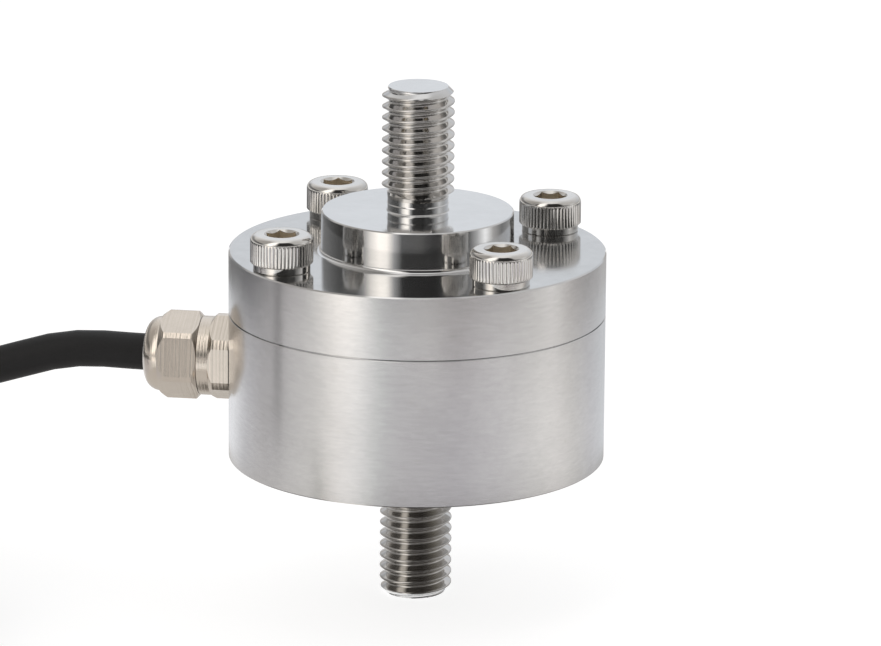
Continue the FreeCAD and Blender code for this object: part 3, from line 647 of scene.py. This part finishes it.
def make_cable():
    """The cable as one curve on the root body."""
    points = cable_points()
    curve = bpy.data.curves.new("cable_run", "CURVE")
    curve.dimensions = "3D"
    curve.bevel_depth = CABLE / 2 * MM
    curve.bevel_resolution = 5
    curve.resolution_u = 3
    curve.use_fill_caps = True
    spline = curve.splines.new("NURBS")
    spline.points.add(len(points) - 1)
    for place, point in zip(spline.points, points):
        place.co = (point.x * MM, point.y * MM, point.z * MM, 1)
    spline.order_u = 3
    spline.use_endpoint_u = True
    curve.materials.append(sheath)
    cable = bpy.data.objects.new("cable_run", curve)
    bpy.context.scene.collection.objects.link(cable)
    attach(cable, "root")
    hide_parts("cable", "cable_coil")
    cable.visible_glossy = False
    return cable


cable = make_cable()


# Finishes of the solids, by the record's slots

FINISHES = {
    "housing_steel": satin_steel,
    "element_steel": polished_steel,
    "screw_steel": screw_steel,
    "gland_nickel": gland_nickel,
    "seal_rubber": moulded("seal_rubber", (0.015, 0.015, 0.016), 0.6),
    "cage_nylon": moulded("cage_nylon", (0.10, 0.10, 0.10), 0.45),
    "gauge_foil": banded("gauge_foil", (0.62, 0.34, 0.09), (0.38, 0.19, 0.05), 1250.0, 0.0, 0.35),
    "board_laminate": laminate("board_laminate"),
    "spacer_nylon": moulded("spacer_nylon", (0.72, 0.70, 0.64), 0.45),
    "board_screw_brass": metal("board_screw_brass", (0.80, 0.62, 0.30), 0.22, 0.05, marks=0.3, stains=0.10),
    "resistor_ceramic": moulded("resistor_ceramic", (0.03, 0.03, 0.035), 0.35),
    "lead_enamel": moulded("lead_enamel", (0.42, 0.12, 0.04), 0.3),
    "cable_sheath": sheath,
    "tie_plastic": moulded("tie_plastic", (0.02, 0.02, 0.021), 0.4),
    "shield_copper": banded("shield_copper", (0.80, 0.77, 0.72), (0.45, 0.42, 0.38), 1100.0, 1.0, 0.3),
}
CORE_COLOURS = {
    "core_red": (0.50, 0.015, 0.012),
    "core_black": (0.014, 0.014, 0.014),
    "core_green": (0.02, 0.24, 0.06),
    "core_white": (0.74, 0.74, 0.72),
}
BARE_LENGTH = 5.0
NEVER_BARE = 1.0


def finish_solids():
    """Give each solid its slot's finish, and each core its own colour with a bare tip."""
    for part in frame["record"]["subparts"]:
        name = part["node"]
        slot = part["material_slot"]
        if slot in CORE_COLOURS:
            stripped = name.startswith("core_end")
            bare_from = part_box(name)[1][0] - BARE_LENGTH * MM if stripped else NEVER_BARE
            finish = insulated(name, CORE_COLOURS[slot], bare_from)
        else:
            finish = FINISHES[slot]
        piece = frame["nodes"][name]
        piece.data.materials.clear()
        piece.data.materials.append(finish)


finish_solids()


# Studio

# The camera's angles, and its place in metres
YAW, PITCH_DOWN, ROLL = (math.radians(angle) for angle in (0.22, 15.29, 0.44))
CAMERA_BACK = 0.8446
CAMERA_HEIGHT = 0.2695
FOCAL_PIXELS = 6345.6
PHOTO_WIDTH = 881
SENSOR_WIDTH = 36.0
NEAREST = 0.05
FARTHEST = 20.0


def make_camera():
    """The camera that took the photograph, as fitted to the object's outline."""
    forward = math.cos(PITCH_DOWN)
    ahead = Vector((math.sin(YAW) * forward, math.cos(YAW) * forward, -math.sin(PITCH_DOWN)))
    level = Vector((math.cos(YAW), -math.sin(YAW), 0))
    over = level.cross(ahead)
    right = level * math.cos(ROLL) + over * math.sin(ROLL)
    up = over * math.cos(ROLL) - level * math.sin(ROLL)
    camera = bpy.data.objects.new("camera", bpy.data.cameras.new("camera"))
    bpy.context.scene.collection.objects.link(camera)
    camera.matrix_world = Matrix((
        (right.x, up.x, -ahead.x, 0.0),
        (right.y, up.y, -ahead.y, -CAMERA_BACK),
        (right.z, up.z, -ahead.z, CAMERA_HEIGHT),
        (0, 0, 0, 1),
    ))
    camera.data.sensor_width = SENSOR_WIDTH
    camera.data.lens = FOCAL_PIXELS * SENSOR_WIDTH / PHOTO_WIDTH
    camera.data.clip_start = NEAREST
    camera.data.clip_end = FARTHEST
    bpy.context.scene.camera = camera


def heading(tree, vector):
    """Share of a full turn round the object, 0.5 towards the viewer and more to the right."""
    parts = node(tree, "ShaderNodeSeparateXYZ", {0: vector}).outputs
    ahead = math_node(tree, "MULTIPLY", parts["Y"], -1.0)
    angle = math_node(tree, "ARCTAN2", parts["X"], ahead)
    return math_node(tree, "MULTIPLY_ADD", angle, 1 / (2 * math.pi), 0.5), parts


def seen_as_floor(tree):
    """1 where the floor is seen by the camera, in metal or through glass, and 0 for the light it gives."""
    path = node(tree, "ShaderNodeLightPath").outputs
    return math_node(tree, "MAXIMUM", path["Is Camera Ray"],
                     math_node(tree, "MAXIMUM", path["Is Glossy Ray"], path["Is Transmission Ray"]))


def rising(tree, factor, ends):
    """0 below the first end, 1 above the second, and straight between them."""
    return ramp(tree, factor, [(ends[0], 0.0), (ends[1], 1.0)])


def by_share(stops):
    """Stops with their degrees turned into shares of a full turn."""
    return [(0.5 + angle / 360, colour) for angle, colour in stops]


# Tones round the object as (degrees from the front, colour): the floor near it, and the room further out
LOW_CARDS = [
    (-180, (0.60, 0.60, 0.61)),
    (-140, (0.60, 0.58, 0.56)),
    (-118, (0.50, 0.48, 0.46)),
    (-98, (0.16, 0.15, 0.14)),
    (-78, (0.10, 0.095, 0.090)),
    (-60, (0.16, 0.15, 0.14)),
    (-48, (0.90, 0.86, 0.80)),
    (-36, (0.90, 0.86, 0.80)),
    (-24, (0.070, 0.065, 0.060)),
    (20, (0.040, 0.037, 0.034)),
    (42, (0.080, 0.075, 0.070)),
    (66, (0.18, 0.17, 0.15)),
    (90, (0.32, 0.31, 0.29)),
    (128, (0.35, 0.34, 0.33)),
    (180, (0.60, 0.60, 0.61)),
]
GAP_CARDS = [
    (-180, (0.62, 0.61, 0.60)),
    (-50, (0.60, 0.58, 0.56)),
    (-32, (0.50, 0.48, 0.46)),
    (-20, (0.14, 0.13, 0.12)),
    (20, (0.060, 0.055, 0.050)),
    (50, (0.12, 0.11, 0.10)),
    (90, (0.35, 0.34, 0.33)),
    (180, (0.60, 0.60, 0.60)),
]
NEAR_CARDS = [
    (-180, (0.82, 0.84, 0.87)),
    (-135, (0.88, 0.89, 0.92)),
    (-116, (0.61, 0.61, 0.64)),
    (-100, (0.53, 0.52, 0.53)),
    (-86, (0.53, 0.52, 0.53)),
    (-72, (0.64, 0.63, 0.63)),
    (-58, (0.69, 0.68, 0.67)),
    (-47, (0.89, 0.87, 0.85)),
    (-40, (0.96, 0.94, 0.93)),
    (-32, (0.92, 0.92, 0.92)),
    (-20, (0.64, 0.65, 0.66)),
    (-10, (0.59, 0.58, 0.60)),
    (22, (0.56, 0.55, 0.58)),
    (46, (0.71, 0.70, 0.72)),
    (72, (0.82, 0.81, 0.80)),
    (86, (0.88, 0.86, 0.85)),
    (100, (0.71, 0.70, 0.69)),
    (120, (0.62, 0.62, 0.65)),
    (142, (0.65, 0.67, 0.70)),
    (180, (0.67, 0.69, 0.73)),
]
MIDDLE_CARDS = [
    (-180, (0.72, 0.72, 0.72)),
    (-150, (0.14, 0.14, 0.14)),
    (-122, (0.061, 0.061, 0.064)),
    (-105, (0.27, 0.27, 0.28)),
    (-86, (0.90, 0.88, 0.90)),
    (-72, (0.97, 0.94, 0.95)),
    (-58, (0.82, 0.82, 0.83)),
    (-45, (1.09, 1.08, 1.08)),
    (-38, (1.26, 1.26, 1.26)),
    (-32, (1.20, 1.23, 1.24)),
    (-21, (1.04, 1.06, 1.07)),
    (-10, (1.06, 1.06, 1.07)),
    (8, (1.21, 1.18, 1.15)),
    (22, (0.84, 0.79, 0.78)),
    (46, (1.11, 1.08, 1.08)),
    (72, (0.81, 0.78, 0.76)),
    (81, (0.64, 0.61, 0.59)),
    (98, (0.44, 0.41, 0.40)),
    (120, (0.44, 0.43, 0.43)),
    (142, (0.51, 0.50, 0.50)),
    (180, (0.51, 0.51, 0.51)),
]
FAR_CARDS = [
    (-180, (0.72, 0.74, 0.77)),
    (-152, (0.20, 0.20, 0.20)),
    (-124, (0.10, 0.10, 0.10)),
    (-105, (0.050, 0.049, 0.047)),
    (-91, (0.030, 0.028, 0.027)),
    (-78, (0.040, 0.038, 0.037)),
    (-67, (0.26, 0.26, 0.26)),
    (-57, (0.95, 0.91, 0.86)),
    (-46, (1.50, 1.41, 1.31)),
    (-36, (1.42, 1.33, 1.23)),
    (-27, (0.55, 0.54, 0.54)),
    (-18, (0.11, 0.11, 0.11)),
    (3, (0.10, 0.098, 0.096)),
    (12, (0.050, 0.050, 0.050)),
    (22, (0.035, 0.035, 0.035)),
    (31, (0.070, 0.067, 0.064)),
    (41, (0.030, 0.028, 0.026)),
    (52, (0.030, 0.029, 0.028)),
    (62, (0.12, 0.12, 0.12)),
    (74, (0.48, 0.48, 0.48)),
    (86, (1.10, 1.10, 1.10)),
    (100, (0.45, 0.44, 0.43)),
    (117, (0.20, 0.20, 0.20)),
    (141, (0.36, 0.36, 0.36)),
    (180, (0.72, 0.74, 0.77)),
]
SIDES = [
    (-180, (0.82, 0.85, 0.89)),
    (-168, (0.76, 0.78, 0.82)),
    (-152, (0.29, 0.29, 0.29)),
    (-127, (0.20, 0.20, 0.20)),
    (-108, (0.12, 0.12, 0.12)),
    (-80, (0.10, 0.10, 0.10)),
    (-68, (0.42, 0.42, 0.42)),
    (-57, (1.28, 1.22, 1.14)),
    (-46, (1.80, 1.70, 1.58)),
    (-37, (1.75, 1.66, 1.55)),
    (-28, (0.50, 0.50, 0.50)),
    (-18, (0.042, 0.042, 0.042)),
    (22, (0.030, 0.030, 0.030)),
    (32, (0.070, 0.070, 0.070)),
    (42, (0.050, 0.050, 0.050)),
    (53, (0.060, 0.060, 0.060)),
    (64, (0.25, 0.25, 0.25)),
    (76, (0.46, 0.46, 0.46)),
    (88, (0.78, 0.78, 0.78)),
    (112, (0.55, 0.55, 0.55)),
    (140, (0.62, 0.64, 0.67)),
    (168, (0.76, 0.78, 0.82)),
    (180, (0.82, 0.85, 0.89)),
]
WINDOWS = [
    (-180, (0.90, 0.91, 0.93)),
    (-150, (0.70, 0.69, 0.68)),
    (-112, (0.42, 0.40, 0.38)),
    (-62, (0.40, 0.39, 0.37)),
    (-54, (1.45, 1.40, 1.35)),
    (-27, (1.45, 1.40, 1.35)),
    (-19, (0.40, 0.39, 0.37)),
    (-12, (0.030, 0.029, 0.028)),
    (46, (0.030, 0.029, 0.028)),
    (56, (0.55, 0.54, 0.53)),
    (100, (0.60, 0.59, 0.58)),
    (140, (0.70, 0.70, 0.71)),
    (180, (0.90, 0.91, 0.93)),
]


# Colours of the room behind those tones, and the upward parts of a direction between which they change
HORIZON = (0.50, 0.485, 0.47, 1)
HORIZON_ENDS = (0.12, 0.19)
WINDOWS_START = (0.33, 0.48)
CEILING = (0.94, 0.93, 0.92, 1)
CEILING_STARTS = (0.92, 0.985)


def make_world():
    """The room as the object sees it: a grey horizon, tones above it, then windows and a pale ceiling."""
    world = bpy.data.worlds.new("studio")
    bpy.context.scene.world = world
    world.use_nodes = True
    tree = world.node_tree
    tree.nodes.clear()
    direction = node(tree, "ShaderNodeTexCoord").outputs["Generated"]
    turn, parts = heading(tree, direction)
    above = rising(tree, parts["Z"], HORIZON_ENDS)
    room = mixed(tree, above, HORIZON, ramp(tree, turn, by_share(SIDES)))
    room = mixed(tree, rising(tree, parts["Z"], WINDOWS_START), room, ramp(tree, turn, by_share(WINDOWS)))
    room = mixed(tree, rising(tree, parts["Z"], CEILING_STARTS), room, CEILING)
    light = node(tree, "ShaderNodeBackground", {"Color": room})
    white = node(tree, "ShaderNodeBackground", {"Color": (1, 1, 1, 1)})
    camera_ray = node(tree, "ShaderNodeLightPath").outputs["Is Camera Ray"]
    both = node(tree, "ShaderNodeMixShader", {0: camera_ray, 1: light.outputs[0], 2: white.outputs[0]})
    node(tree, "ShaderNodeOutputWorld", {"Surface": both.outputs[0]})


# The floor's half width, its own grey, and the glow with which it is seen
FLOOR_REACH = 6
FLOOR_GREY = 0.45
FLOOR_GLOW = 0.80


def make_floor():
    """A pale matt floor that looks nearly white and keeps the object's shadow."""
    corners = [(FLOOR_REACH * x, FLOOR_REACH * y, 0) for x, y in ((-1, -1), (1, -1), (1, 1), (-1, 1))]
    mesh = bpy.data.meshes.new("floor")
    mesh.from_pydata(corners, [], [(0, 1, 2, 3)])
    floor = bpy.data.objects.new("floor", mesh)
    bpy.context.scene.collection.objects.link(floor)
    material, tree, shader = new_material("floor")
    tree.nodes.remove(shader)
    matt = node(tree, "ShaderNodeBsdfDiffuse", {"Color": (FLOOR_GREY, FLOOR_GREY, FLOOR_GREY, 1)})
    strength = math_node(tree, "MULTIPLY", seen_as_floor(tree), FLOOR_GLOW)
    glow = node(tree, "ShaderNodeEmission", {"Color": (1, 1, 1, 1), "Strength": strength})
    both = node(tree, "ShaderNodeAddShader", {0: matt.outputs[0], 1: glow.outputs[0]})
    tree.links.new(both.outputs[0], tree.nodes["Material Output"].inputs["Surface"])
    mesh.materials.append(material)


# Rings of cards round the object: inner and outer radius, tones and strength
CARD_RINGS = {
    "low_cards": (0.005, 0.036, LOW_CARDS, 1.0),
    "gap_cards": (0.036, 0.080, GAP_CARDS, 1.0),
    "foot_cards": (0.080, 0.124, NEAR_CARDS, 1.07),
    "near_cards": (0.124, 0.172, NEAR_CARDS, 1.0),
    "middle_cards": (0.172, 0.208, MIDDLE_CARDS, 1.0),
    "far_cards": (0.208, 0.900, FAR_CARDS, 1.0),
}
CARD_SIDES = 72
CARD_LEVEL = 0.3 * MM


def card_ring(name, inner, outer, stops, strength):
    """Cards round the object on the floor, in tones by direction, seen only in the metal."""
    vertices = []
    faces = []
    for step in range(CARD_SIDES + 1):
        angle = 2 * math.pi * step / CARD_SIDES
        for reach in (inner, outer):
            vertices.append((reach * math.sin(angle), -reach * math.cos(angle), CARD_LEVEL))
        if step < CARD_SIDES:
            faces.append((2 * step, 2 * step + 2, 2 * step + 3, 2 * step + 1))
    mesh = bpy.data.meshes.new(name)
    mesh.from_pydata(vertices, [], faces)
    cards = bpy.data.objects.new(name, mesh)
    bpy.context.scene.collection.objects.link(cards)
    material, tree, shader = new_material(name)
    tree.nodes.remove(shader)
    turn, _ = heading(tree, node(tree, "ShaderNodeTexCoord").outputs["Object"])
    tones = ramp(tree, turn, by_share(stops))
    glow = node(tree, "ShaderNodeEmission", {"Color": tones, "Strength": strength})
    tree.links.new(glow.outputs[0], tree.nodes["Material Output"].inputs["Surface"])
    mesh.materials.append(material)
    cards.visible_camera = False
    cards.visible_diffuse = False
    cards.visible_transmission = False
    cards.visible_shadow = False


make_camera()
make_world()
make_floor()
for name, ring in CARD_RINGS.items():
    card_ring(name, *ring)
bpy.context.scene.view_settings.view_transform = "Standard"
